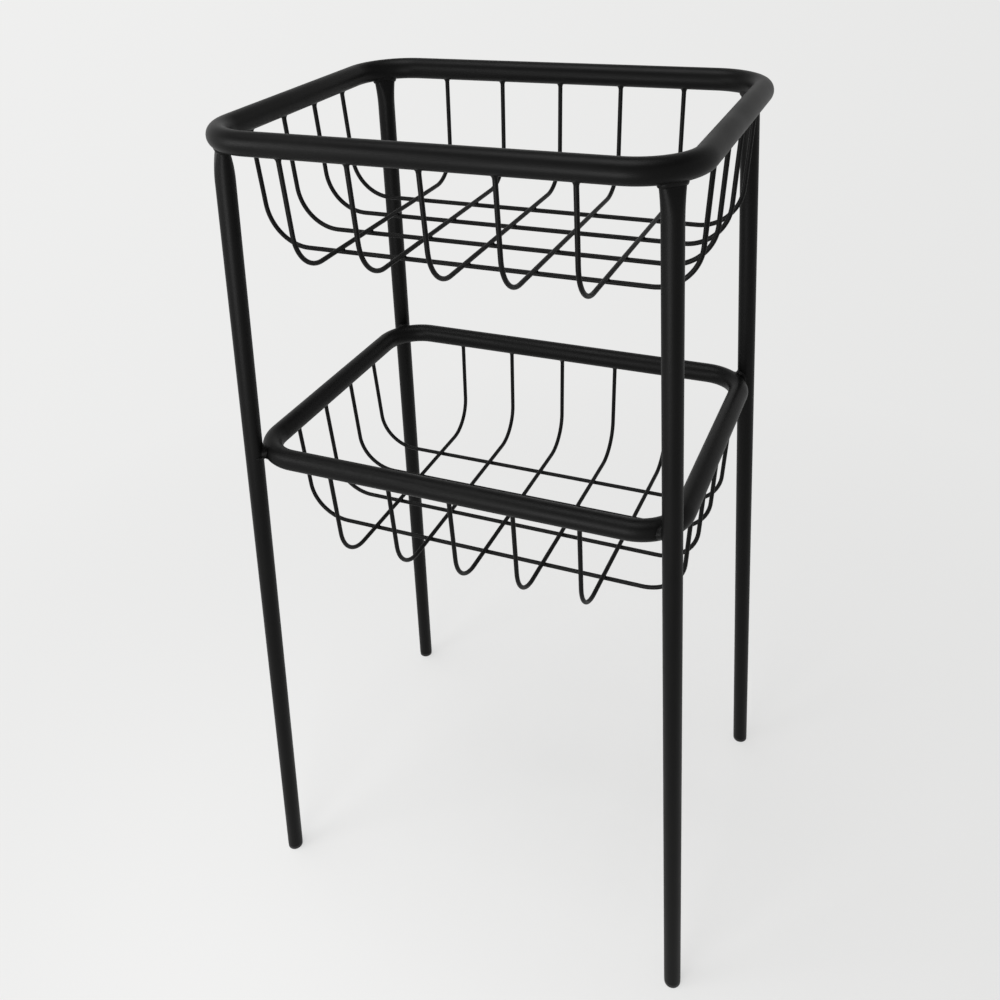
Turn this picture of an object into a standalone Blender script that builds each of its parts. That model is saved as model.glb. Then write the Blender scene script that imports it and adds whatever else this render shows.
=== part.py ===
"""A floor fruit stand: two wire baskets with tube rims, one above the other, on four splayed tube legs.

Sizes are in metres. X runs along the front from left to right, Y to the back and Z up.
The origin is on the floor, in the middle of the four feet.
"""

import collections
import math

import bmesh
import bpy
from mathutils import Matrix, Vector

# The whole stand
HEIGHT = 0.650  # floor to the top of the upper rim
LOWER_RIM_HEIGHT = 0.4165  # floor to the middle of the lower rim's tube
FOOT_SPREAD_X = 0.355  # between the middles of the front feet
FOOT_SPREAD_Y = 0.270  # between the middles of a front and a back foot
GAP = 0.0003  # left between pieces that touch or are welded

# The rims, measured between the middles of their tubes
TOP_RIM_WIDTH = 0.306
TOP_RIM_DEPTH = 0.232
TOP_CORNER_RADIUS = 0.037
LOWER_CORNER_RADIUS = 0.030
LOWER_SEAT_ANGLE = math.radians(47)  # where round its corner the lower rim meets the leg
RIM_TUBE_DIAMETER = 0.015
RIM_WALL = 0.001
VENT_DIAMETER = 0.003  # drilled under each closed tube ring, so that it can be coated

# The legs
LEG_TUBE_DIAMETER = 0.013
LEG_WALL = 0.001
LEG_TOP_INSET = 0.0012  # how far inside the middle of the top rim's tube a leg's middle line arrives
CRIMP_THICKNESS = 0.0082  # of the leg's upper end, which is pressed flat
CRIMP_FLAT_LENGTH = 0.0015
CRIMP_TAPER_LENGTH = 0.0185

# The plastic plugs in the legs' lower ends
PLUG_COLLAR_HEIGHT = 0.004
PLUG_EDGE_RADIUS = 0.0015
PLUG_STEM_LENGTH = 0.016
PLUG_RIDGE_HEIGHT = 0.0006
PLUG_TIP_CHAMFER = 0.001

# The basket wires: cross wires run front to back, long wires run side to side below them
WIRE_DIAMETER = 0.0032
TOP_BASKET_DEPTH = 0.082  # middle of the rim's tube down to the middle of the cross wires
LOWER_BASKET_DEPTH = 0.0847
WIRE_LEAN = 0.004  # how far a wire's side slopes inwards on its way down
CROSS_BEND_RADIUS = 0.028
LONG_BEND_RADIUS = 0.030
CROSS_WIRE_INSET = 0.060  # top rim's side to the outermost cross wire
LONG_WIRE_INSET = 0.0575  # top rim's front to the outermost long wire

# Counts
CROSS_WIRES = 5
LONG_WIRES = 4
PLUG_RIDGES = 3
RIM_SIDES = 20
RIM_BORE_SIDES = 10
CORNER_STEPS = 8
LEG_SIDES = 16
CRIMP_STEPS = 5
PLUG_EDGE_STEPS = 3
BEND_STEPS = 8
WIRE_BEVEL_RESOLUTION = 2
VENT_SIDES = 12
COPE_HALVINGS = 40

# Angles above which an edge stays sharp
TUBE_SHARP_ANGLE = math.radians(40)

# Colour, roughness and metallic value of each finish
COAT_COLOUR = (0.018, 0.018, 0.019, 1)
COAT_ROUGHNESS = 0.42
COAT_METALLIC = 0
PLUG_COLOUR = (0.013, 0.013, 0.013, 1)
PLUG_ROUGHNESS = 0.55
PLUG_METALLIC = 0

RIM_TUBE_RADIUS = RIM_TUBE_DIAMETER / 2
LEG_TUBE_RADIUS = LEG_TUBE_DIAMETER / 2
WIRE_RADIUS = WIRE_DIAMETER / 2
UP = Vector((0, 0, 1))

# half_x and half_y reach from the middle to the tube's middle line, and height is that line's own
Rim = collections.namedtuple("Rim", "half_x half_y radius height")


class Leg:
    """The middle line of one leg, from the floor to inside the top rim's corner."""

    def __init__(self, side_x, side_y, top_rim):
        corner = corner_centre(top_rim, side_x, side_y)
        outward = Vector((side_x, side_y, 0)).normalized()
        self.foot = Vector((side_x * FOOT_SPREAD_X / 2, side_y * FOOT_SPREAD_Y / 2, 0))
        self.top = corner + outward * (top_rim.radius - LEG_TOP_INSET)
        self.axis = (self.top - self.foot).normalized()
        self.radial = (outward - self.axis * outward.dot(self.axis)).normalized()
        self.tangent = self.axis.cross(self.radial)
        self.corner = corner

    def at(self, height):
        return self.foot.lerp(self.top, height / self.top.z)

    def slid_to(self, offset, height):
        """The point where the line through this offset, along the leg, comes to this height."""
        return self.at(height) + offset - self.axis * (offset.z / self.axis.z)

    def ring(self, thickness, flat, height):
        """The leg's section at one height: two half circles of this thickness, with a flat between them."""
        return [self.slid_to(offset, height) for offset in self.offsets(thickness, flat)]

    def offsets(self, thickness, flat):
        """The section's points, measured from the leg's middle line and square to it."""
        half_turn = LEG_SIDES // 2
        found = []
        for step in range(LEG_SIDES):
            angle = math.pi * step / half_turn
            side = 0 if step % half_turn == 0 else math.copysign(1, half_turn - step)
            outward = math.cos(angle) * thickness / 2
            across = (math.sin(angle) * thickness + side * flat) / 2
            found.append(self.radial * outward + self.tangent * across)
        return found


def corner_centre(rim, side_x, side_y):
    """The point that a rim's rounded corner turns about."""
    return Vector((side_x * (rim.half_x - rim.radius), side_y * (rim.half_y - rim.radius), rim.height))


def lower_rim_of(leg):
    """The lower rim is as wide and as deep as the legs leave it room for at its height."""
    reach = LOWER_CORNER_RADIUS + (RIM_TUBE_RADIUS + GAP + LEG_TUBE_RADIUS) / leg.axis.z
    beside = leg.at(LOWER_RIM_HEIGHT)
    half_x = beside.x - reach * math.cos(LOWER_SEAT_ANGLE) + LOWER_CORNER_RADIUS
    half_y = beside.y - reach * math.sin(LOWER_SEAT_ANGLE) + LOWER_CORNER_RADIUS
    return Rim(half_x, half_y, LOWER_CORNER_RADIUS, LOWER_RIM_HEIGHT)


def clear_scene():
    for obj in list(bpy.data.objects):
        bpy.data.objects.remove(obj)


def finish(name, colour, roughness, metallic):
    material = bpy.data.materials.new(name + "_finish")
    material.use_nodes = True
    shader = material.node_tree.nodes["Principled BSDF"]
    shader.inputs["Base Color"].default_value = colour
    shader.inputs["Roughness"].default_value = roughness
    shader.inputs["Metallic"].default_value = metallic
    return material


def add_object(name, data):
    obj = bpy.data.objects.new(name, data)
    bpy.context.scene.collection.objects.link(obj)
    return obj


def coat(obj):
    obj.data.materials.append(finish(obj.name, COAT_COLOUR, COAT_ROUGHNESS, COAT_METALLIC))


def add_mesh(name, bm):
    mesh = bpy.data.meshes.new(name)
    bm.to_mesh(mesh)
    bm.free()
    mesh.shade_smooth()
    mesh.set_sharp_from_angle(angle=TUBE_SHARP_ANGLE)
    return add_object(name, mesh)


def loft(bm, rings, closed):
    """Skins a row of rings with quads. A closed row joins its last ring to its first, an open one is capped."""
    rows = [[bm.verts.new(point) for point in ring] for ring in rings]
    pairs = list(zip(rows, rows[1:]))
    if closed:
        pairs.append((rows[-1], rows[0]))
    for lower, upper in pairs:
        count = len(lower)
        for i in range(count):
            j = (i + 1) % count
            bm.faces.new((lower[i], lower[j], upper[j], upper[i]))
    if not closed:
        bm.faces.new(reversed(rows[0]))
        bm.faces.new(rows[-1])


def rim_path(rim):
    """Points of the rim's middle line, anticlockwise seen from above, each with its outward direction."""
    path = []
    for quarter, (side_x, side_y) in enumerate(((1, 1), (-1, 1), (-1, -1), (1, -1))):
        centre = corner_centre(rim, side_x, side_y)
        for step in range(CORNER_STEPS + 1):
            angle = (quarter + step / CORNER_STEPS) * math.pi / 2
            outward = Vector((math.cos(angle), math.sin(angle), 0))
            path.append((centre + outward * rim.radius, outward))
    return path


def rim_rings(rim, tube_radius, sides):
    rings = []
    for point, outward in rim_path(rim):
        angles = [-2 * math.pi * step / sides for step in range(sides)]
        rings.append([point + (outward * math.cos(a) + UP * math.sin(a)) * tube_radius for a in angles])
    return rings


def make_rim(name, rim):
    """A ring of tube. Its bore opens through a vent hole under the middle of the back side."""
    bm = bmesh.new()
    loft(bm, rim_rings(rim, RIM_TUBE_RADIUS, RIM_SIDES), closed=True)
    bore = rim_rings(rim, RIM_TUBE_RADIUS - RIM_WALL, RIM_BORE_SIDES)
    loft(bm, [ring[::-1] for ring in bore], closed=True)
    obj = add_mesh(name, bm)
    coat(obj)

    cutter = bmesh.new()
    bmesh.ops.create_cone(
        cutter,
        cap_ends=True,
        segments=VENT_SIDES,
        radius1=VENT_DIAMETER / 2,
        radius2=VENT_DIAMETER / 2,
        depth=RIM_TUBE_DIAMETER,
        matrix=Matrix.Translation((0, rim.half_y, rim.height - RIM_TUBE_RADIUS)),
    )
    hole = add_mesh(name + "_vent_cutter", cutter)
    hole.hide_render = True
    hole.display_type = "WIRE"
    vent = obj.modifiers.new("vent", "BOOLEAN")
    vent.object = hole
    vent.operation = "DIFFERENCE"


def coped_ring(leg, thickness, flat, top_rim):
    """The leg's upper end, cut to the round of the rim that it stands under."""
    clear = RIM_TUBE_RADIUS + GAP
    ring = []
    for offset in leg.offsets(thickness, flat):
        low = top_rim.height - 2 * clear
        high = top_rim.height
        for _ in range(COPE_HALVINGS):
            middle = (low + high) / 2
            from_corner = leg.slid_to(offset, middle) - leg.corner
            beside = from_corner.xy.length - top_rim.radius
            if math.hypot(beside, from_corner.z) > clear:
                low = middle
            else:
                high = middle
        ring.append(leg.slid_to(offset, low))
    return ring


def leg_surface(leg, tube_diameter, end_thickness, top_rim):
    """Rings of one surface of a leg's tube, foot to top. Pressing it flat keeps its girth."""
    flat_start = top_rim.height - RIM_TUBE_RADIUS - CRIMP_FLAT_LENGTH
    rings = [leg.ring(tube_diameter, 0, PLUG_COLLAR_HEIGHT + GAP)]
    for step in range(CRIMP_STEPS + 1):
        share = step / CRIMP_STEPS
        pressed_share = share * share
        thickness = tube_diameter + (end_thickness - tube_diameter) * pressed_share
        flat = (tube_diameter - thickness) * math.pi / 2
        rings.append(leg.ring(thickness, flat, flat_start - CRIMP_TAPER_LENGTH * (1 - share)))
    flat = (tube_diameter - end_thickness) * math.pi / 2
    rings.append(coped_ring(leg, end_thickness, flat, top_rim))
    return rings


def make_leg(name, leg, top_rim):
    outer = leg_surface(leg, LEG_TUBE_DIAMETER, CRIMP_THICKNESS, top_rim)
    bore_diameter = LEG_TUBE_DIAMETER - 2 * LEG_WALL
    bore = leg_surface(leg, bore_diameter, CRIMP_THICKNESS - 2 * LEG_WALL, top_rim)
    bm = bmesh.new()
    loft(bm, outer + bore[::-1], closed=True)
    coat(add_mesh(name, bm))


def make_plug(name, leg):
    """A collar with a rounded lower edge, flat on the floor, and a ridged stem up the leg's bore."""
    rings = []
    for step in range(PLUG_EDGE_STEPS + 1):
        angle = math.pi / 2 * step / PLUG_EDGE_STEPS
        diameter = LEG_TUBE_DIAMETER - 2 * PLUG_EDGE_RADIUS * (1 - math.sin(angle))
        rings.append(leg.ring(diameter, 0, PLUG_EDGE_RADIUS * (1 - math.cos(angle))))
    rings.append(leg.ring(LEG_TUBE_DIAMETER, 0, PLUG_COLLAR_HEIGHT))
    ridge = LEG_TUBE_DIAMETER - 2 * (LEG_WALL + GAP)
    core = ridge - 2 * PLUG_RIDGE_HEIGHT
    rings.append(leg.ring(core, 0, PLUG_COLLAR_HEIGHT))
    pitch = (PLUG_STEM_LENGTH - PLUG_TIP_CHAMFER) / (PLUG_RIDGES + 1)
    for count in range(1, PLUG_RIDGES + 1):
        crest = PLUG_COLLAR_HEIGHT + pitch * count
        rings.append(leg.ring(core, 0, crest - PLUG_RIDGE_HEIGHT))
        rings.append(leg.ring(ridge, 0, crest))
        rings.append(leg.ring(core, 0, crest + PLUG_RIDGE_HEIGHT))
    tip = PLUG_COLLAR_HEIGHT + PLUG_STEM_LENGTH
    rings.append(leg.ring(core, 0, tip - PLUG_TIP_CHAMFER))
    rings.append(leg.ring(core - 2 * PLUG_TIP_CHAMFER, 0, tip))
    bm = bmesh.new()
    loft(bm, rings, closed=False)
    obj = add_mesh(name, bm)
    obj.data.materials.append(finish(name, PLUG_COLOUR, PLUG_ROUGHNESS, PLUG_METALLIC))


def rim_reach(offset, half_along, half_across, radius):
    """How far out the rim's middle line is at this offset from the middle of a side, also round a corner."""
    past = abs(offset) - (half_along - radius)
    if past <= 0:
        return half_across
    return half_across - radius + math.sqrt(radius * radius - past * past)


def wire_profile(reach, rim_height, bottom, bend_radius):
    """Points (sideways, height) of a U from one end under the rim to the other."""
    top = rim_height - RIM_TUBE_RADIUS - GAP
    turn = math.pi / 2 - math.atan2(WIRE_LEAN, top - bottom)
    bend_centre = reach - WIRE_LEAN - bend_radius * math.tan(turn / 2)
    half = [(reach, top)]
    for step in range(BEND_STEPS + 1):
        angle = turn * (1 - step / BEND_STEPS)
        out = bend_centre + bend_radius * math.sin(angle)
        half.append((out, bottom + bend_radius * (1 - math.cos(angle))))
    return half + [(-out, height) for out, height in reversed(half)]


def make_wire(name, points):
    curve = bpy.data.curves.new(name, "CURVE")
    curve.dimensions = "3D"
    curve.bevel_depth = WIRE_RADIUS
    curve.bevel_resolution = WIRE_BEVEL_RESOLUTION
    curve.use_fill_caps = True
    spline = curve.splines.new("POLY")
    spline.points.add(len(points) - 1)
    for spot, point in zip(spline.points, points):
        spot.co = (*point, 1)
    coat(add_object(name, curve))


def places(count, outermost):
    """Places of this many wires, spread evenly from -outermost to +outermost."""
    return [outermost * (2 * number / (count - 1) - 1) for number in range(count)]


def make_basket_wires(tier, rim, depth, top_rim):
    """Both baskets have their wires in the same places, set out from the top rim."""
    cross_bottom = rim.height - depth
    for number, x in enumerate(places(CROSS_WIRES, top_rim.half_x - CROSS_WIRE_INSET), 1):
        reach = rim_reach(x, rim.half_x, rim.half_y, rim.radius)
        profile = wire_profile(reach, rim.height, cross_bottom, CROSS_BEND_RADIUS)
        make_wire(f"{tier}_cross_wire_{number}", [(x, y, z) for y, z in profile])
    long_bottom = cross_bottom - WIRE_DIAMETER - GAP
    for number, y in enumerate(places(LONG_WIRES, top_rim.half_y - LONG_WIRE_INSET), 1):
        reach = rim_reach(y, rim.half_y, rim.half_x, rim.radius)
        profile = wire_profile(reach, rim.height, long_bottom, LONG_BEND_RADIUS)
        make_wire(f"{tier}_long_wire_{number}", [(x, y, z) for x, z in profile])


def main():
    clear_scene()
    top_rim = Rim(TOP_RIM_WIDTH / 2, TOP_RIM_DEPTH / 2, TOP_CORNER_RADIUS, HEIGHT - RIM_TUBE_RADIUS)
    lower_rim = lower_rim_of(Leg(1, 1, top_rim))
    make_rim("top_rim", top_rim)
    make_rim("lower_rim", lower_rim)
    for depth_name, side_y in (("front", -1), ("back", 1)):
        for side_name, side_x in (("left", -1), ("right", 1)):
            leg = Leg(side_x, side_y, top_rim)
            make_leg(f"leg_{depth_name}_{side_name}", leg, top_rim)
            make_plug(f"foot_plug_{depth_name}_{side_name}", leg)
    make_basket_wires("top", top_rim, TOP_BASKET_DEPTH, top_rim)
    make_basket_wires("lower", lower_rim, LOWER_BASKET_DEPTH, top_rim)


main()
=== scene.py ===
"""The looks of a floor fruit stand: two wire baskets with tube rims, one over the other, on four legs.

A finer piece of the same size and place replaces each packed one, and the welds between them are added.
Sizes are in metres. X runs along the front from left to right, Y to the back and Z up.
"""

import collections
import math

import bmesh
import bpy
from mathutils import Matrix, Vector


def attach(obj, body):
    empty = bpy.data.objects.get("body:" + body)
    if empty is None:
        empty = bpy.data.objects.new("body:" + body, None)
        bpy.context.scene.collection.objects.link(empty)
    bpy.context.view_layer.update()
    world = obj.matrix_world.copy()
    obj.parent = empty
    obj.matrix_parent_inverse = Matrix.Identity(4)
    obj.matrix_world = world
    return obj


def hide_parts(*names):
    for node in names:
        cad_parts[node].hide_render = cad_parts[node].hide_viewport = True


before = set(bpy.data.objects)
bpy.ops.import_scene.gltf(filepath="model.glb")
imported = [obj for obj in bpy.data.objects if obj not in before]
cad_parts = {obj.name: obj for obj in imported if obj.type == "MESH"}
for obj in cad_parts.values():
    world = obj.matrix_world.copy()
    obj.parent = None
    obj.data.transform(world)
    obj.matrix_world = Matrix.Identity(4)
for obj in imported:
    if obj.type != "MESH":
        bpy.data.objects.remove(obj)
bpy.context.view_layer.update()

# The stand, with the sizes of the part's source
HEIGHT = 0.650
LOWER_RIM_HEIGHT = 0.4165
FOOT_SPREAD_X = 0.355
FOOT_SPREAD_Y = 0.270
GAP = 0.0003
TOP_RIM_WIDTH = 0.306
TOP_RIM_DEPTH = 0.232
TOP_CORNER_RADIUS = 0.037
LOWER_CORNER_RADIUS = 0.030
LOWER_SEAT_ANGLE = math.radians(47)
RIM_TUBE_DIAMETER = 0.015
RIM_WALL = 0.001
VENT_DIAMETER = 0.003
LEG_TUBE_DIAMETER = 0.013
LEG_WALL = 0.001
LEG_TOP_INSET = 0.0012
CRIMP_THICKNESS = 0.0082
CRIMP_FLAT_LENGTH = 0.0015
CRIMP_TAPER_LENGTH = 0.0185
PLUG_DIAMETER = 0.0128  # a little under the leg's, so that its round collar keeps inside the CAD box
PLUG_COLLAR_HEIGHT = 0.004
PLUG_EDGE_RADIUS = 0.0015
PLUG_STEM_LENGTH = 0.016
PLUG_RIDGE_HEIGHT = 0.0006
PLUG_TIP_CHAMFER = 0.001
PLUG_RIDGES = 3
CROSS_WIRES = 5  # in each basket, from front to back
LONG_WIRES = 4  # in each basket, from side to side
WIRE_DIAMETER = 0.0032
TOP_BASKET_DEPTH = 0.082
LOWER_BASKET_DEPTH = 0.0847
WIRE_LEAN = 0.004
CROSS_BEND_RADIUS = 0.028
LONG_BEND_RADIUS = 0.030
CROSS_WIRE_INSET = 0.060
LONG_WIRE_INSET = 0.0575

# The welds
LEG_WELD_REACH = 0.0013  # out from the leg along the top rim
LEG_WELD_HEIGHT = 0.0021  # down the leg
WIRE_WELD_REACH = 0.0015
WIRE_WELD_HEIGHT = 0.0025
WIRE_END_DEPTH = 0.0008  # how far a wire's end sinks into the rim's wall
CROSSING_WELD_SIZE = 0.0030
SEAT_WELD_WIDTH = 0.0160  # round a leg and along the lower rim, where these two touch
SEAT_WELD_HEIGHT = 0.0120
SEAT_WELD_LIFT = 0.0006  # its middle, above the place where they touch
SEAT_BEAD_RADIUS = 0.0010  # of the bead that runs round the leg beside the lower rim
SEAT_BEAD_START_DROP = 0.0010  # under the rim's middle line, behind the leg
SEAT_BEAD_END_DROP = 0.0014
SEAT_BEAD_SHORT_TURN = math.radians(58)  # round the leg, from where it touches the rim
SEAT_BEAD_LONG_TURN = math.radians(100)
WELD_SINK = 0.0001  # a weld's edge lies this far inside the tubes that it joins
WELD_WAIST_SHARE = 0.30  # how far a weld between two crossing tubes pulls in, as a share of its height
WELD_RIPPLE_SHARE = 0.05  # of the height of the weld at the top of a leg
WELD_RIPPLES = 11  # round that weld
BEAD_TAPER_SHARE = 0.25  # of the bead's length, at each end
BEAD_TIP_SHARE = 0.15  # of its radius, at the very ends

# How finely the pieces are drawn
RIM_SIDES = 64
RIM_BORE_SIDES = 32
CORNER_STEPS = 24
LEG_SIDES = 48
CRIMP_STEPS = 20
PLUG_EDGE_STEPS = 8
BEND_STEPS = 20
WIRE_SIDES = 24
VENT_SIDES = 24
COPE_HALVINGS = 40
WELD_STEPS = 6
WELD_SIDES = 24
BEAD_STEPS = 24
BEAD_SIDES = 12
SHARP_ANGLE = math.radians(50)  # an edge bent more than this stays crisp

# The powder coat, in linear colour. A noise has the size of its lumps, and a detail for how finely they
# break up. A span is the stretch of values over which an effect grows from nothing to full.
COAT_COLOUR = (0.0018, 0.0018, 0.0018, 1)
COAT_PALER_COLOUR = (0.0028, 0.0028, 0.0027, 1)
COAT_RUBBED_COLOUR = (0.0100, 0.0100, 0.0097, 1)
COAT_SHINE = 0.11
COAT_ROUGHNESS = (0.42, 0.50)
COAT_RUBBED_SHARE = 0.30
CLOUD_SIZE = 0.060
CLOUD_DETAIL = 4
CLOUD_SPAN = (0.35, 0.65)
RUB_SIZE = 0.0045
RUB_DETAIL = 6
RUB_SPAN = (0.50, 0.70)
RUB_FACING_SPAN = (0.35, 0.95)  # of how far up a side faces, where 0 is upright and 1 is level
PEEL_SIZE = 0.0011
PEEL_DETAIL = 1
PEEL_DEPTH = 0.000030
GRAIN_SIZE = 0.00028
GRAIN_DETAIL = 2
GRAIN_DEPTH = 0.000010

# The plastic of the feet
PLASTIC_COLOUR = (0.0065, 0.0065, 0.0066, 1)
PLASTIC_SCUFF_COLOUR = (0.045, 0.044, 0.042, 1)
PLASTIC_SHINE = 0.30
PLASTIC_ROUGHNESS = (0.50, 0.68)
SCUFF_HEIGHT = 0.0014
SCUFF_SIZE = 0.0009
SCUFF_DETAIL = 5
SCUFF_SPAN = (0.42, 0.62)
MOULD_GRAIN_SIZE = 0.00035
MOULD_GRAIN_DETAIL = 3
MOULD_GRAIN_DEPTH = 0.000012

# The floor and the room
FLOOR_HALF_SIZE = 20
FLOOR_COLOUR = (0.84, 0.84, 0.835, 1)
FLOOR_GRAIN_SIZE = 0.004
FLOOR_GRAIN_DETAIL = 3
FLOOR_GRAIN_TONES = (0.995, 1.005)  # the darkest and the palest, as shares of the floor's colour
FLOOR_ROUGHNESS = 0.85
FLOOR_GLOW_SHARE = 0.72  # how much of the background's own colour the floor has beside the stand
FLOOR_FADE_START = 0.35  # out from the stand's middle, where that share begins to grow
FLOOR_FADE_END = 0.9  # where the floor has come to the background's colour alone
# The background's two colours are painted light: paler at the left and darker at the right, as if a lamp
# shone from the left
BACKGROUND_LEFT_PAINTED_LIT_COLOUR = (0.89, 0.89, 0.885, 1)
BACKGROUND_RIGHT_PAINTED_SHADE_COLOUR = (0.735, 0.735, 0.73, 1)
BACKGROUND_NEAR = 1.0  # well within this the floor's tone goes by place, and far beyond it by direction
ROOM_COLOUR = (0.16, 0.16, 0.16, 1)
CEILING_START = math.radians(25)  # how far up the pale walls begin to turn into the dim ceiling
CEILING_END = math.radians(45)

# The lamps
SOFT_BOX_AIM = Vector((0, 0, 0.45))
FRONT_BOX_PLACE = Vector((-0.04, -0.72, 0.46))
FRONT_BOX_WIDTH = 0.35
FRONT_BOX_HEIGHT = 0.30
FRONT_BOX_POWER = 2.6
LEFT_BOX_PLACE = Vector((-0.50, -0.55, 0.75))
LEFT_BOX_WIDTH = 0.30
LEFT_BOX_HEIGHT = 0.30
LEFT_BOX_POWER = 2.1
TOP_FROM = Vector((-0.15, -0.09, 0.98))
TOP_WIDTH = math.radians(36)
TOP_STRENGTH = 1.9

# The camera, fitted to the photograph
CAMERA_PLACE = Vector((0.26426, -0.60715, 0.78887))
CAMERA_YAW = math.radians(24.3476)
CAMERA_PITCH = math.radians(-30.2506)
CAMERA_ROLL = math.radians(-2.8554)
CAMERA_SENSOR_MM = 36
CAMERA_LENS_MM = 36.017
CAMERA_SHIFT_Y = -0.06975

# The Mix node's colour sockets go by number, because its sockets for other values have the same names
MIX_COLOUR_INPUTS = (6, 7)
MIX_COLOUR_OUTPUT = 2

RIM_TUBE_RADIUS = RIM_TUBE_DIAMETER / 2
LEG_TUBE_RADIUS = LEG_TUBE_DIAMETER / 2
WIRE_RADIUS = WIRE_DIAMETER / 2
UP = Vector((0, 0, 1))

# half_x and half_y reach from the middle to the tube's middle line, and height is that line's own
Rim = collections.namedtuple("Rim", "half_x half_y radius height")


class Leg:
    """The middle line of one leg, from the floor to inside the top rim's corner."""

    def __init__(self, side_x, side_y, top_rim):
        self.corner = corner_centre(top_rim, side_x, side_y)
        outward = Vector((side_x, side_y, 0)).normalized()
        self.foot = Vector((side_x * FOOT_SPREAD_X / 2, side_y * FOOT_SPREAD_Y / 2, 0))
        self.top = self.corner + outward * (top_rim.radius - LEG_TOP_INSET)
        self.axis = (self.top - self.foot).normalized()
        self.radial = (outward - self.axis * outward.dot(self.axis)).normalized()
        self.tangent = self.axis.cross(self.radial)

    def at(self, height):
        return self.foot.lerp(self.top, height / self.top.z)

    def slid_to(self, offset, height):
        """The point where the line through this offset, along the leg, comes to this height."""
        return self.at(height) + offset - self.axis * (offset.z / self.axis.z)

    def ring(self, thickness, flat, height):
        """The leg's section at one height: half circles of this thickness, with a flat between them."""
        return [self.slid_to(offset, height) for offset in self.offsets(thickness, flat)]

    def offsets(self, thickness, flat):
        """The section's points, measured from the leg's middle line and square to it."""
        half_turn = LEG_SIDES // 2
        found = []
        for step in range(LEG_SIDES):
            angle = math.pi * step / half_turn
            side = 0 if step % half_turn == 0 else math.copysign(1, half_turn - step)
            outward = math.cos(angle) * thickness / 2
            across = (math.sin(angle) * thickness + side * flat) / 2
            found.append(self.radial * outward + self.tangent * across)
        return found

    def meeting(self, offset, top_rim, clear):
        """How high the line through this offset, along the leg, comes this near the rim's middle line."""
        low = top_rim.height - 2 * RIM_TUBE_RADIUS
        high = top_rim.height
        for _ in range(COPE_HALVINGS):
            middle = (low + high) / 2
            from_corner = self.slid_to(offset, middle) - self.corner
            beside = from_corner.xy.length - top_rim.radius
            if math.hypot(beside, from_corner.z) > clear:
                low = middle
            else:
                high = middle
        return low


def corner_centre(rim, side_x, side_y):
    """The point that a rim's rounded corner turns about."""
    return Vector((side_x * (rim.half_x - rim.radius), side_y * (rim.half_y - rim.radius), rim.height))


def lower_rim_of(leg):
    """The lower rim is as wide and as deep as the legs leave it room for at its height."""
    reach = LOWER_CORNER_RADIUS + (RIM_TUBE_RADIUS + GAP + LEG_TUBE_RADIUS) / leg.axis.z
    beside = leg.at(LOWER_RIM_HEIGHT)
    half_x = beside.x - reach * math.cos(LOWER_SEAT_ANGLE) + LOWER_CORNER_RADIUS
    half_y = beside.y - reach * math.sin(LOWER_SEAT_ANGLE) + LOWER_CORNER_RADIUS
    return Rim(half_x, half_y, LOWER_CORNER_RADIUS, LOWER_RIM_HEIGHT)


def flat_width(tube_diameter, thickness):
    """How wide the flat is on a tube pressed to this thickness. Its girth stays the same."""
    return (tube_diameter - thickness) * math.pi / 2


def full_turn(count):
    """This many angles, spread evenly round a full turn."""
    return [2 * math.pi * step / count for step in range(count)]


def circle(centre, radius, first, second, sides):
    """Points round a circle, which starts in the first direction and turns towards the second."""
    return [centre + (first * math.cos(a) + second * math.sin(a)) * radius for a in full_turn(sides)]


def loft(bm, rings, closed):
    """Skins a row of rings. A closed row joins its last ring to its first, and an open one is capped."""
    rows = [[bm.verts.new(point) for point in ring] for ring in rings]
    pairs = list(zip(rows, rows[1:]))
    if closed:
        pairs.append((rows[-1], rows[0]))
    for lower, upper in pairs:
        count = len(lower)
        for i in range(count):
            j = (i + 1) % count
            bm.faces.new((lower[i], lower[j], upper[j], upper[i]))
    if not closed:
        bm.faces.new(reversed(rows[0]))
        bm.faces.new(rows[-1])


def shade(mesh):
    mesh.shade_smooth()
    mesh.set_sharp_from_angle(angle=SHARP_ANGLE)


def mesh_of(name, bm):
    """Turns what has been drawn into a mesh of this name."""
    mesh = bpy.data.meshes.new(name)
    bm.to_mesh(mesh)
    bm.free()
    return mesh


def add_object(name, data):
    """Puts an object with this mesh, lamp or camera in the scene."""
    added = bpy.data.objects.new(name, data)
    bpy.context.scene.collection.objects.link(added)
    return added


def add_piece(name, bm, material, node=None):
    """Makes one piece of the stand, with outward faces, and has it ride on the stand's body."""
    bmesh.ops.recalc_face_normals(bm, faces=bm.faces)
    mesh = mesh_of(name, bm)
    mesh.materials.append(material)
    shade(mesh)
    piece = add_object(name, mesh)
    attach(piece, "root")
    if node:
        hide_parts(node)
    return piece


def rim_path(rim):
    """Points of the rim's middle line, anticlockwise from above, each with its outward direction."""
    path = []
    for quarter, (side_x, side_y) in enumerate(((1, 1), (-1, 1), (-1, -1), (1, -1))):
        centre = corner_centre(rim, side_x, side_y)
        for step in range(CORNER_STEPS + 1):
            angle = (quarter + step / CORNER_STEPS) * math.pi / 2
            outward = Vector((math.cos(angle), math.sin(angle), 0))
            path.append((centre + outward * rim.radius, outward))
    return path


def rim_rings(rim, tube_radius, sides):
    return [circle(point, tube_radius, outward, -UP, sides) for point, outward in rim_path(rim)]


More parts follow.
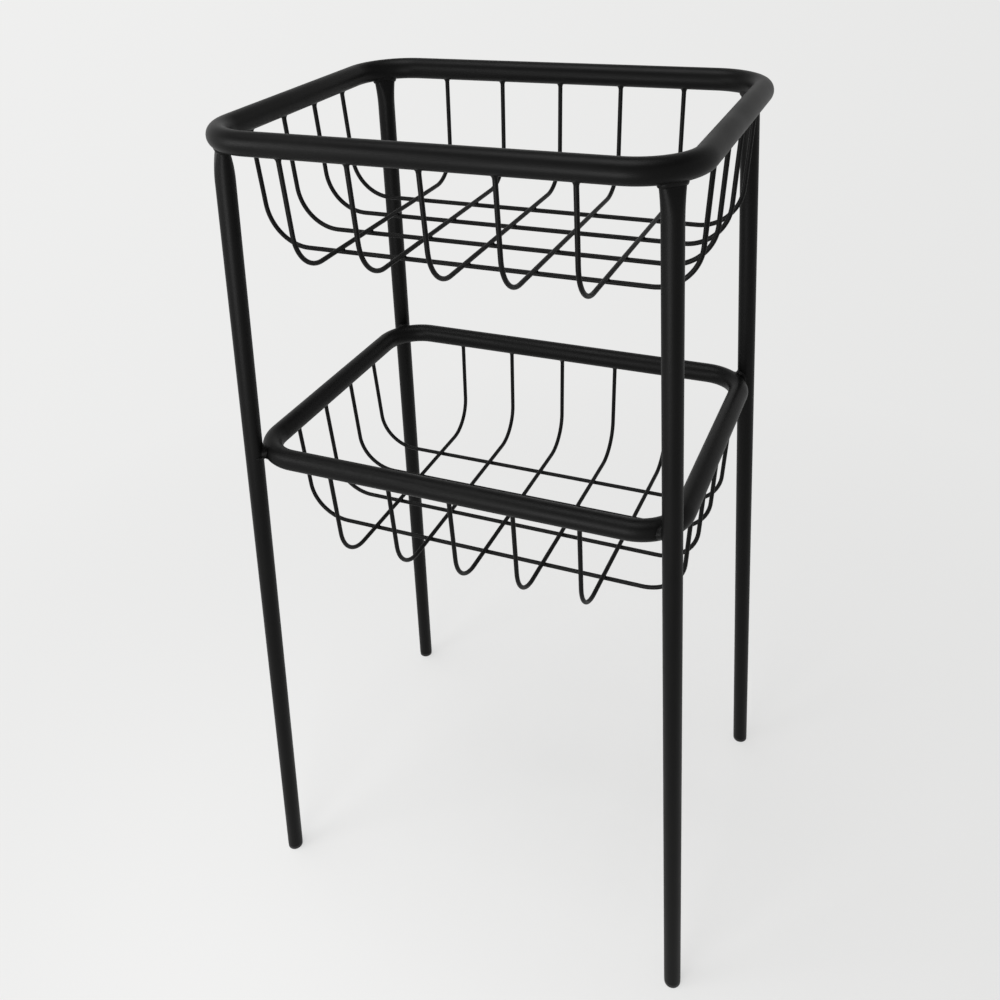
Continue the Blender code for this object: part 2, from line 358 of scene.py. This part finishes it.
def make_rim(node, rim, material):
    """A ring of tube. Its bore opens through a vent hole under the middle of the back side."""
    bm = bmesh.new()
    loft(bm, rim_rings(rim, RIM_TUBE_RADIUS, RIM_SIDES), closed=True)
    bore = bmesh.new()
    loft(bore, rim_rings(rim, RIM_TUBE_RADIUS - RIM_WALL, RIM_BORE_SIDES), closed=True)
    piece = add_piece(node + "_tube", bm, material, node)
    carve(piece, mesh_of(node + "_bore", bore))

    vent = bmesh.new()
    bmesh.ops.create_cone(
        vent,
        cap_ends=True,
        segments=VENT_SIDES,
        radius1=VENT_DIAMETER / 2,
        radius2=VENT_DIAMETER / 2,
        depth=RIM_TUBE_DIAMETER,
        matrix=Matrix.Translation((0, rim.half_y, rim.height - RIM_TUBE_RADIUS)),
    )
    carve(piece, mesh_of(node + "_vent", vent))


def carve(piece, mesh):
    """Cuts a closed mesh out of a piece."""
    cutter = add_object(mesh.name, mesh)
    cut = piece.modifiers.new("cut", "BOOLEAN")
    cut.object = cutter
    cut.operation = "DIFFERENCE"
    view = bpy.context.evaluated_depsgraph_get()
    carved = bpy.data.meshes.new_from_object(piece.evaluated_get(view))
    piece.modifiers.clear()
    piece.data = carved
    shade(carved)
    bpy.data.objects.remove(cutter)


def leg_surface(leg, tube_diameter, end_thickness, top_rim):
    """Rings of one surface of a leg's tube, foot to top. Pressing it flat keeps its girth."""
    flat_start = top_rim.height - RIM_TUBE_RADIUS - CRIMP_FLAT_LENGTH
    rings = [leg.ring(tube_diameter, 0, PLUG_COLLAR_HEIGHT + GAP)]
    for step in range(CRIMP_STEPS + 1):
        share = step / CRIMP_STEPS
        pressed_share = share * share
        thickness = tube_diameter + (end_thickness - tube_diameter) * pressed_share
        flat = flat_width(tube_diameter, thickness)
        rings.append(leg.ring(thickness, flat, flat_start - CRIMP_TAPER_LENGTH * (1 - share)))
    flat = flat_width(tube_diameter, end_thickness)
    clear = RIM_TUBE_RADIUS + GAP
    offsets = leg.offsets(end_thickness, flat)
    rings.append([leg.slid_to(offset, leg.meeting(offset, top_rim, clear)) for offset in offsets])
    return rings


def make_leg(node, leg, top_rim, material):
    outer = leg_surface(leg, LEG_TUBE_DIAMETER, CRIMP_THICKNESS, top_rim)
    bore_diameter = LEG_TUBE_DIAMETER - 2 * LEG_WALL
    bore = leg_surface(leg, bore_diameter, CRIMP_THICKNESS - 2 * LEG_WALL, top_rim)
    bm = bmesh.new()
    loft(bm, outer + bore[::-1], closed=True)
    add_piece(node + "_tube", bm, material, node)


def make_plug(node, leg, material):
    """A collar with a rounded lower edge, flat on the floor, and a ridged stem up the leg's bore."""
    rings = []
    for step in range(PLUG_EDGE_STEPS + 1):
        angle = math.pi / 2 * step / PLUG_EDGE_STEPS
        diameter = PLUG_DIAMETER - 2 * PLUG_EDGE_RADIUS * (1 - math.sin(angle))
        rings.append(leg.ring(diameter, 0, PLUG_EDGE_RADIUS * (1 - math.cos(angle))))
    rings.append(leg.ring(PLUG_DIAMETER, 0, PLUG_COLLAR_HEIGHT))
    ridge = LEG_TUBE_DIAMETER - 2 * (LEG_WALL + GAP)
    core = ridge - 2 * PLUG_RIDGE_HEIGHT
    rings.append(leg.ring(core, 0, PLUG_COLLAR_HEIGHT))
    pitch = (PLUG_STEM_LENGTH - PLUG_TIP_CHAMFER) / (PLUG_RIDGES + 1)
    for count in range(1, PLUG_RIDGES + 1):
        crest = PLUG_COLLAR_HEIGHT + pitch * count
        rings.append(leg.ring(core, 0, crest - PLUG_RIDGE_HEIGHT))
        rings.append(leg.ring(ridge, 0, crest))
        rings.append(leg.ring(core, 0, crest + PLUG_RIDGE_HEIGHT))
    tip = PLUG_COLLAR_HEIGHT + PLUG_STEM_LENGTH
    rings.append(leg.ring(core, 0, tip - PLUG_TIP_CHAMFER))
    rings.append(leg.ring(core - 2 * PLUG_TIP_CHAMFER, 0, tip))
    bm = bmesh.new()
    loft(bm, rings, closed=False)
    add_piece(node + "_glide", bm, material, node)


def make_leg_weld(name, leg, top_rim, material):
    """A bead round the flat end of a leg, from the leg's side out onto the top rim."""
    flat = flat_width(LEG_TUBE_DIAMETER, CRIMP_THICKNESS)
    rings = []
    for step in range(WELD_STEPS + 1):
        angle = math.pi / 2 * step / WELD_STEPS
        spread = LEG_WELD_REACH * math.sin(angle)
        drop = LEG_WELD_HEIGHT * math.cos(angle)
        ring = []
        for number, offset in enumerate(leg.offsets(CRIMP_THICKNESS + 2 * spread, flat)):
            ripple = WELD_RIPPLE_SHARE * drop * math.sin(2 * math.pi * WELD_RIPPLES * number / LEG_SIDES)
            height = leg.meeting(offset, top_rim, RIM_TUBE_RADIUS - WELD_SINK)
            ring.append(leg.slid_to(offset, height - drop + ripple))
        rings.append(ring)
    bm = bmesh.new()
    loft(bm, rings, closed=False)
    add_piece(name, bm, material)


def crossing_weld(bm, middle, normal, along_over, over_radius, under_radius, width, height, lift=0):
    """A weld between two tubes that cross and all but touch. The normal points at the one that lies over.

    Its height runs along that tube, and its width along the other one. Lift moves it along that tube.
    """
    along_under = normal.cross(along_over)
    rings = []
    for step in range(WELD_STEPS + 1):
        share = step / WELD_STEPS
        ring = []
        for turn in full_turn(WELD_SIDES):
            beside = width / 2 * math.cos(turn)
            ahead = height / 2 * math.sin(turn) + lift
            over_arc = beside / over_radius
            under_arc = ahead / under_radius
            over = (
                normal * (GAP / 2 + WELD_SINK + over_radius * (1 - math.cos(over_arc)))
                + along_under * over_radius * math.sin(over_arc)
                + along_over * ahead
            )
            under = (
                -normal * (GAP / 2 + WELD_SINK + under_radius * (1 - math.cos(under_arc)))
                + along_under * beside
                + along_over * under_radius * math.sin(under_arc)
            )
            waist = WELD_WAIST_SHARE * (over - under).dot(normal) * math.sin(math.pi * share)
            outward = along_under * math.cos(turn) + along_over * math.sin(turn)
            ring.append(middle + under.lerp(over, share) - outward * waist)
        rings.append(ring)
    loft(bm, rings, closed=False)


def seat_bead(bm, leg, touching, square, turn):
    """A slim bead on the leg, beside the rim, from behind the leg to this far round its front."""
    ahead = leg.axis.cross(square)
    if ahead.y > 0:
        ahead = -ahead
    rings = []
    for step in range(BEAD_STEPS + 1):
        share = step / BEAD_STEPS
        angle = -SEAT_BEAD_SHORT_TURN + (turn + SEAT_BEAD_SHORT_TURN) * share
        drop = SEAT_BEAD_START_DROP + (SEAT_BEAD_END_DROP - SEAT_BEAD_START_DROP) * share
        outward = ahead * math.sin(angle) - square * math.cos(angle)
        centre = touching + square * LEG_TUBE_RADIUS + outward * LEG_TUBE_RADIUS - leg.axis * drop
        from_end = min(share, 1 - share) / BEAD_TAPER_SHARE
        radius = SEAT_BEAD_RADIUS * max(BEAD_TIP_SHARE, math.sin(math.pi / 2 * min(1, from_end)))
        rings.append(circle(centre, radius, outward, leg.axis, BEAD_SIDES))
    loft(bm, rings, closed=False)


def make_seat_weld(name, leg, side_x, side_y, rim, bead_turn, material):
    """The weld where a corner of the lower rim touches a leg."""
    outward = Vector((side_x * math.cos(LOWER_SEAT_ANGLE), side_y * math.sin(LOWER_SEAT_ANGLE), 0))
    square = (outward - leg.axis * outward.dot(leg.axis)).normalized()
    on_rim = corner_centre(rim, side_x, side_y) + outward * rim.radius
    middle = on_rim + square * (RIM_TUBE_RADIUS + GAP / 2)
    bm = bmesh.new()
    crossing_weld(
        bm,
        middle,
        square,
        leg.axis,
        LEG_TUBE_RADIUS,
        RIM_TUBE_RADIUS,
        SEAT_WELD_WIDTH,
        SEAT_WELD_HEIGHT,
        SEAT_WELD_LIFT,
    )
    seat_bead(bm, leg, middle, square, bead_turn)
    add_piece(name, bm, material)


def wire_end_weld(bm, end, across, rim_height):
    """A hollow fillet round the end of a wire that stands under the middle of a rim's tube."""
    along = UP.cross(across)
    rings = []
    for step in range(WELD_STEPS + 1):
        angle = math.pi / 2 * step / WELD_STEPS
        radius = WIRE_RADIUS + WIRE_WELD_REACH * (1 - math.cos(angle))
        drop = WIRE_WELD_HEIGHT * (1 - math.sin(angle))
        ring = []
        for turn in full_turn(WELD_SIDES):
            beside = radius * math.cos(turn)
            height = rim_height - math.sqrt((RIM_TUBE_RADIUS - WELD_SINK) ** 2 - beside ** 2) - drop
            spot = end + across * beside + along * radius * math.sin(turn)
            ring.append(Vector((spot.x, spot.y, height)))
        rings.append(ring)
    loft(bm, rings, closed=False)


def rim_reach(offset, half_along, half_across, radius):
    """How far out the rim's middle line is, at this offset from a side's middle and round a corner too."""
    past = abs(offset) - (half_along - radius)
    if past <= 0:
        return half_across
    return half_across - radius + math.sqrt(radius * radius - past * past)


def wire_profile(reach, rim_height, bottom, bend_radius):
    """Points (sideways, height) of a U whose ends sink into the rim's underside."""
    top = rim_height - RIM_TUBE_RADIUS - GAP
    turn = math.pi / 2 - math.atan2(WIRE_LEAN, top - bottom)
    bend_centre = reach - WIRE_LEAN - bend_radius * math.tan(turn / 2)
    half = [(reach, top + GAP + WIRE_END_DEPTH), (reach, top - WIRE_WELD_HEIGHT)]
    for step in range(BEND_STEPS + 1):
        angle = turn * (1 - step / BEND_STEPS)
        out = bend_centre + bend_radius * math.sin(angle)
        half.append((out, bottom + bend_radius * (1 - math.cos(angle))))
    return half + [(-out, height) for out, height in reversed(half)]


def make_wire(node, points, side, material):
    """A round wire along points that lie in one plane, whose normal is side."""
    rings = []
    last = len(points) - 1
    for number, point in enumerate(points):
        before = points[max(number - 1, 0)]
        after = points[min(number + 1, last)]
        ahead = (after - before).normalized()
        rings.append(circle(point, WIRE_RADIUS, side, ahead.cross(side), WIRE_SIDES))
    bm = bmesh.new()
    loft(bm, rings, closed=False)
    add_piece(node + "_rod", bm, material, node)


def places(count, outermost):
    """Places of this many wires, spread evenly from -outermost to +outermost."""
    return [outermost * (2 * number / (count - 1) - 1) for number in range(count)]


def make_basket_wires(tier, rim, depth, top_rim, material):
    """Both baskets have their wires in the same places, set out from the top rim."""
    along_x = Vector((1, 0, 0))
    along_y = Vector((0, 1, 0))
    end_welds = bmesh.new()
    cross_places = places(CROSS_WIRES, top_rim.half_x - CROSS_WIRE_INSET)
    long_places = places(LONG_WIRES, top_rim.half_y - LONG_WIRE_INSET)

    cross_bottom = rim.height - depth
    for number, x in enumerate(cross_places, 1):
        reach = rim_reach(x, rim.half_x, rim.half_y, rim.radius)
        profile = wire_profile(reach, rim.height, cross_bottom, CROSS_BEND_RADIUS)
        points = [Vector((x, y, z)) for y, z in profile]
        make_wire(f"{tier}_cross_wire_{number}", points, along_x, material)
        for side in (-1, 1):
            wire_end_weld(end_welds, Vector((x, side * reach, 0)), along_y, rim.height)

    long_bottom = cross_bottom - WIRE_DIAMETER - GAP
    for number, y in enumerate(long_places, 1):
        reach = rim_reach(y, rim.half_y, rim.half_x, rim.radius)
        profile = wire_profile(reach, rim.height, long_bottom, LONG_BEND_RADIUS)
        points = [Vector((x, y, z)) for x, z in profile]
        make_wire(f"{tier}_long_wire_{number}", points, along_y, material)
        for side in (-1, 1):
            wire_end_weld(end_welds, Vector((side * reach, y, 0)), along_x, rim.height)
    add_piece(f"{tier}_basket_end_welds", end_welds, material)

    crossing_welds = bmesh.new()
    between = cross_bottom - (WIRE_DIAMETER + GAP) / 2
    for x in cross_places:
        for y in long_places:
            spot = Vector((x, y, between))
            crossing_weld(
                crossing_welds,
                spot,
                UP,
                along_y,
                WIRE_RADIUS,
                WIRE_RADIUS,
                CROSSING_WELD_SIZE,
                CROSSING_WELD_SIZE,
            )
    add_piece(f"{tier}_basket_crossing_welds", crossing_welds, material)


class Recipe:
    """The nodes of one material or of the world."""

    def __init__(self, owner):
        owner.use_nodes = True
        self.tree = owner.node_tree
        self.tree.nodes.clear()

    def add(self, kind, inputs=None, **settings):
        """Adds a node. Each input, by its name or number, is a value or another node's output."""
        node = self.tree.nodes.new("ShaderNode" + kind)
        for name, value in settings.items():
            setattr(node, name, value)
        for name, value in (inputs or {}).items():
            if isinstance(value, bpy.types.NodeSocket):
                self.tree.links.new(value, node.inputs[name])
            else:
                node.inputs[name].default_value = value
        return node

    def noise(self, place, size, detail):
        """Noise from 0 to 1 whose lumps are about this size."""
        inputs = {"Vector": place, "Scale": 1 / size, "Detail": detail}
        return self.add("TexNoise", inputs).outputs["Fac"]

    def ramp(self, value, start, end, low, high):
        """Turns the value's stretch from start to end into low to high, and holds it there outside."""
        inputs = {"Value": value, "From Min": start, "From Max": end, "To Min": low, "To Max": high}
        return self.add("MapRange", inputs).outputs["Result"]

    def maths(self, operation, one, other):
        return self.add("Math", {0: one, 1: other}, operation=operation).outputs["Value"]

    def scaled(self, vector, share):
        return self.add("VectorMath", {0: vector, "Scale": share}, operation="SCALE").outputs["Vector"]

    def part(self, vector, axis):
        """One of a vector's three numbers, by the name of its axis."""
        return self.add("SeparateXYZ", {"Vector": vector}).outputs[axis]

    def mix(self, share, one, other):
        """A colour that goes from one to the other with the share."""
        first, second = MIX_COLOUR_INPUTS
        node = self.add("Mix", {"Factor": share, first: one, second: other}, data_type="RGBA")
        return node.outputs[MIX_COLOUR_OUTPUT]

    def bump(self, height, depth, normal=None):
        inputs = {"Height": height, "Distance": depth}
        if normal:
            inputs["Normal"] = normal
        return self.add("Bump", inputs).outputs["Normal"]

    def finish(self, shader, kind="Material"):
        output = self.add("Output" + kind)
        self.tree.links.new(shader, output.inputs["Surface"])


def powder_coat():
    """Satin black powder coat: orange peel, fine grain, slow changes of tone, and rubbed upper sides."""
    material = bpy.data.materials.new("black_powder_coat")
    recipe = Recipe(material)
    place = recipe.add("TexCoord").outputs["Object"]
    facing = recipe.part(recipe.add("NewGeometry").outputs["Normal"], "Z")
    cloud = recipe.ramp(recipe.noise(place, CLOUD_SIZE, CLOUD_DETAIL), *CLOUD_SPAN, 0, 1)
    rub = recipe.ramp(recipe.noise(place, RUB_SIZE, RUB_DETAIL), *RUB_SPAN, 0, 1)
    upper = recipe.ramp(facing, *RUB_FACING_SPAN, 0, COAT_RUBBED_SHARE)
    rubbed = recipe.maths("MULTIPLY", rub, upper)
    tone = recipe.mix(cloud, COAT_COLOUR, COAT_PALER_COLOUR)
    grain = recipe.noise(place, GRAIN_SIZE, GRAIN_DETAIL)
    peel = recipe.noise(place, PEEL_SIZE, PEEL_DETAIL)
    normal = recipe.bump(peel, PEEL_DEPTH, recipe.bump(grain, GRAIN_DEPTH))
    inputs = {
        "Base Color": recipe.mix(rubbed, tone, COAT_RUBBED_COLOUR),
        "Roughness": recipe.ramp(cloud, 0, 1, *COAT_ROUGHNESS),
        "Specular IOR Level": COAT_SHINE,
        "Normal": normal,
    }
    recipe.finish(recipe.add("BsdfPrincipled", inputs).outputs["BSDF"])
    return material


def foot_plastic():
    """Black moulded plastic, with a fine grain and pale scuffs round the edge that meets the floor."""
    material = bpy.data.materials.new("black_foot_plastic")
    recipe = Recipe(material)
    place = recipe.add("TexCoord").outputs["Object"]
    height = recipe.part(place, "Z")
    low = recipe.ramp(height, 0, SCUFF_HEIGHT, 1, 0)
    patch = recipe.ramp(recipe.noise(place, SCUFF_SIZE, SCUFF_DETAIL), *SCUFF_SPAN, 0, 1)
    scuff = recipe.maths("MULTIPLY", low, patch)
    grain = recipe.noise(place, MOULD_GRAIN_SIZE, MOULD_GRAIN_DETAIL)
    inputs = {
        "Base Color": recipe.mix(scuff, PLASTIC_COLOUR, PLASTIC_SCUFF_COLOUR),
        "Roughness": recipe.ramp(scuff, 0, 1, *PLASTIC_ROUGHNESS),
        "Specular IOR Level": PLASTIC_SHINE,
        "Normal": recipe.bump(grain, MOULD_GRAIN_DEPTH),
    }
    recipe.finish(recipe.add("BsdfPrincipled", inputs).outputs["BSDF"])
    return material


def floor_paper():
    """Pale studio paper that turns into the plain background colour away from the stand."""
    material = bpy.data.materials.new("pale_floor")
    recipe = Recipe(material)
    place = recipe.add("TexCoord").outputs["Object"]
    speckle = recipe.noise(place, FLOOR_GRAIN_SIZE, FLOOR_GRAIN_DETAIL)
    grain = recipe.ramp(speckle, 0, 1, *FLOOR_GRAIN_TONES)
    colour = recipe.scaled(FLOOR_COLOUR[:3], grain)
    inputs = {"Base Color": colour, "Roughness": FLOOR_ROUGHNESS, "Specular IOR Level": 0}
    paper = recipe.add("BsdfPrincipled", inputs).outputs["BSDF"]
    distance = recipe.add("VectorMath", {0: place}, operation="LENGTH").outputs["Value"]
    reach = recipe.maths("ADD", distance, BACKGROUND_NEAR)
    shrink = recipe.maths("DIVIDE", BACKGROUND_NEAR, reach)
    direction = recipe.scaled(place, shrink)
    # the background colour that the floor turns into carries the painted left-to-right shade
    plain = recipe.add("Emission", {"Color": background(recipe, direction)}).outputs["Emission"]
    far = recipe.ramp(distance, FLOOR_FADE_START, FLOOR_FADE_END, FLOOR_GLOW_SHARE, 1)
    seen = recipe.maths("MULTIPLY", far, seen_by_eye(recipe))
    recipe.finish(recipe.add("MixShader", {0: seen, 1: paper, 2: plain}).outputs["Shader"])
    return material


def background(recipe, direction):
    """A pale grey with painted light: a little darker at the right than at the left, as if lit from the
    left.
    """
    share = recipe.ramp(recipe.part(direction, "X"), -1, 1, 0, 1)
    return recipe.mix(share, BACKGROUND_LEFT_PAINTED_LIT_COLOUR, BACKGROUND_RIGHT_PAINTED_SHADE_COLOUR)


def seen_by_eye(recipe):
    """1 for rays from the camera, also by reflection or through something clear, and 0 for light."""
    path = recipe.add("LightPath").outputs
    seen = path["Is Camera Ray"]
    for name in ("Is Glossy Ray", "Is Transmission Ray"):
        seen = recipe.maths("MAXIMUM", seen, path[name])
    return seen


def make_floor():
    bm = bmesh.new()
    bmesh.ops.create_grid(bm, x_segments=1, y_segments=1, size=FLOOR_HALF_SIZE)
    mesh = mesh_of("studio_floor", bm)
    mesh.materials.append(floor_paper())
    floor = add_object("studio_floor", mesh)


def make_room():
    """Dim soft light from all round. The eye sees pale walls under a ceiling as dim as that light."""
    world = bpy.data.worlds.new("studio")
    bpy.context.scene.world = world
    recipe = Recipe(world)
    direction = recipe.add("TexCoord").outputs["Generated"]
    height = recipe.part(direction, "Z")
    overhead = recipe.ramp(height, math.sin(CEILING_START), math.sin(CEILING_END), 0, 1)
    # the pale walls carry the same painted left-to-right shade
    looked_at = recipe.mix(overhead, background(recipe, direction), ROOM_COLOUR)
    colour = recipe.mix(seen_by_eye(recipe), ROOM_COLOUR, looked_at)
    recipe.finish(recipe.add("Background", {"Color": colour}).outputs["Background"], "World")


def make_soft_box(name, place, width, height, power):
    """A soft box near the stand, turned to a point over its lower rim. No camera sees the box itself."""
    lamp = bpy.data.lights.new(name, "AREA")
    lamp.shape = "RECTANGLE"
    lamp.size = width
    lamp.size_y = height
    lamp.energy = power
    light = add_object(name, lamp)
    light.location = place
    light.rotation_euler = (place - SOFT_BOX_AIM).to_track_quat("Z", "Y").to_euler()
    light.visible_camera = False


def make_top_light():
    """A wide soft light from almost straight above, a little to the left and the front."""
    lamp = bpy.data.lights.new("top_light", "SUN")
    lamp.angle = TOP_WIDTH
    lamp.energy = TOP_STRENGTH
    light = add_object("top_light", lamp)
    light.rotation_euler = TOP_FROM.to_track_quat("Z", "Y").to_euler()


def make_camera():
    data = bpy.data.cameras.new("camera")
    data.sensor_width = CAMERA_SENSOR_MM
    data.lens = CAMERA_LENS_MM
    data.shift_y = CAMERA_SHIFT_Y
    camera = add_object("camera", data)
    turn = Matrix.Rotation(CAMERA_YAW, 4, "Z")
    tilt = Matrix.Rotation(math.pi / 2 + CAMERA_PITCH, 4, "X")
    roll = Matrix.Rotation(CAMERA_ROLL, 4, "Z")
    camera.matrix_world = Matrix.Translation(CAMERA_PLACE) @ turn @ tilt @ roll
    bpy.context.scene.camera = camera


def make_stand():
    coat = powder_coat()
    plastic = foot_plastic()
    top_rim = Rim(TOP_RIM_WIDTH / 2, TOP_RIM_DEPTH / 2, TOP_CORNER_RADIUS, HEIGHT - RIM_TUBE_RADIUS)
    lower_rim = lower_rim_of(Leg(1, 1, top_rim))
    make_rim("top_rim", top_rim, coat)
    make_rim("lower_rim", lower_rim, coat)
    for depth_name, side_y in (("front", -1), ("back", 1)):
        for side_name, side_x in (("left", -1), ("right", 1)):
            where = f"{depth_name}_{side_name}"
            leg = Leg(side_x, side_y, top_rim)
            make_leg(f"leg_{where}", leg, top_rim, coat)
            make_plug(f"foot_plug_{where}", leg, plastic)
            make_leg_weld(f"top_weld_{where}", leg, top_rim, coat)
            bead_turn = SEAT_BEAD_LONG_TURN if where == "front_left" else SEAT_BEAD_SHORT_TURN
            make_seat_weld(f"seat_weld_{where}", leg, side_x, side_y, lower_rim, bead_turn, coat)
    make_basket_wires("top", top_rim, TOP_BASKET_DEPTH, top_rim, coat)
    make_basket_wires("lower", lower_rim, LOWER_BASKET_DEPTH, top_rim, coat)


bpy.context.scene.view_settings.view_transform = "Standard"
make_camera()
make_floor()
make_room()
make_soft_box("front_soft_box", FRONT_BOX_PLACE, FRONT_BOX_WIDTH, FRONT_BOX_HEIGHT, FRONT_BOX_POWER)
make_soft_box("left_soft_box", LEFT_BOX_PLACE, LEFT_BOX_WIDTH, LEFT_BOX_HEIGHT, LEFT_BOX_POWER)
make_top_light()
make_stand()
